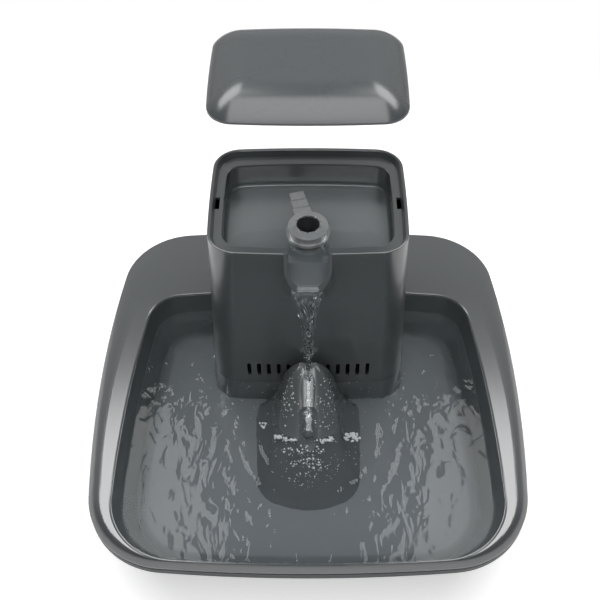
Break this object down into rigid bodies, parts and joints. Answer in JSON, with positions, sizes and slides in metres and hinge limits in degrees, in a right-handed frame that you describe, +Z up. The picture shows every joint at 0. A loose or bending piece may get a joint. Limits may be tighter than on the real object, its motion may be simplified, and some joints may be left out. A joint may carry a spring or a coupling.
{
  "type": "pet water fountain",
  "caption": "Pet water fountain with a wide bowl, a filter tower with a tray and spout, a splash ramp and a lift-off lid.",
  "frame": {"origin": "on the surface it stands on, under the centre of the bowl's outer lip", "axes": "+X to the right, +Y to the back, where the tower stands, +Z up"},
  "size_m": [0.385, 0.3785, 0.3611],
  "materials": {
    "slate_plastic": "satin",
    "clear_grey_plastic": "gloss",
    "dark_plastic": "satin",
    "white_plastic": "satin",
    "rubber": "matte",
    "steel": "brushed",
    "motor_metal": "satin",
    "magnet": "satin",
    "board": "gloss",
    "foam": "matte",
    "carbon": "matte"
  },
  "bodies": {
    "base": {"bowl": "slate_plastic", "base_shell": "slate_plastic", "bottom_cover": "dark_plastic", "cover_gasket": "rubber", "rubber_feet": "rubber", "cover_screws": "steel", "shell_screws": "steel", "motor_can": "motor_metal", "motor_bracket": "steel", "motor_screws": "steel", "impeller_pin": "steel", "power_socket": "dark_plastic", "socket_nut": "steel", "control_board": "board", "board_screws": "steel", "motor_lead": "rubber", "power_lead": "rubber"},
    "drive_rotor": {"rotor_shaft": "steel", "magnet_carrier": "dark_plastic", "drive_magnet": "magnet"},
    "impeller_rotor": {"impeller": "white_plastic", "impeller_magnet": "magnet"},
    "tower": {"tower_wall": "slate_plastic", "tower_tray": "slate_plastic", "riser_tube": "dark_plastic", "pump_cover": "dark_plastic", "nozzle_seal": "rubber", "filter_holder": "dark_plastic", "foam_prefilter": "foam", "carbon_filter": "carbon"},
    "nozzle": {"nozzle_ring": "clear_grey_plastic"},
    "lid_body": {"lid": "slate_plastic"},
    "ramp": {"splash_ramp": "slate_plastic"}
  },
  "joints": [
    {"name": "tower_lift", "type": "slide", "parent": "base", "child": "tower", "axis": [0, 0, 1], "range_m": [0, 0.2]},
    {"name": "ramp_lift", "type": "slide", "parent": "base", "child": "ramp", "axis": [0, 0, 1], "range_m": [0, 0.08]},
    {"name": "lid_lift", "type": "slide", "parent": "tower", "child": "lid_body", "axis": [0, 0.342, 0.9397], "range_m": [-0.108, 0]},
    {"name": "nozzle_turn", "type": "hinge", "parent": "tower", "child": "nozzle", "pos_m": [0, 0.04925, 0.23], "axis": [0, 0, 1], "range_deg": [-45, 45]},
    {"name": "drive_spin", "type": "hinge", "parent": "base", "child": "drive_rotor", "pos_m": [0, 0.04925, 0.02], "axis": [0, 0, 1], "continuous": true},
    {"name": "impeller_spin", "type": "hinge", "parent": "base", "child": "impeller_rotor", "pos_m": [0, 0.04925, 0.038], "axis": [0, 0, 1], "continuous": true}
  ],
  "couplings": [
    {"joint": "impeller_spin", "follows": "drive_spin", "ratio": 1}
  ]
}
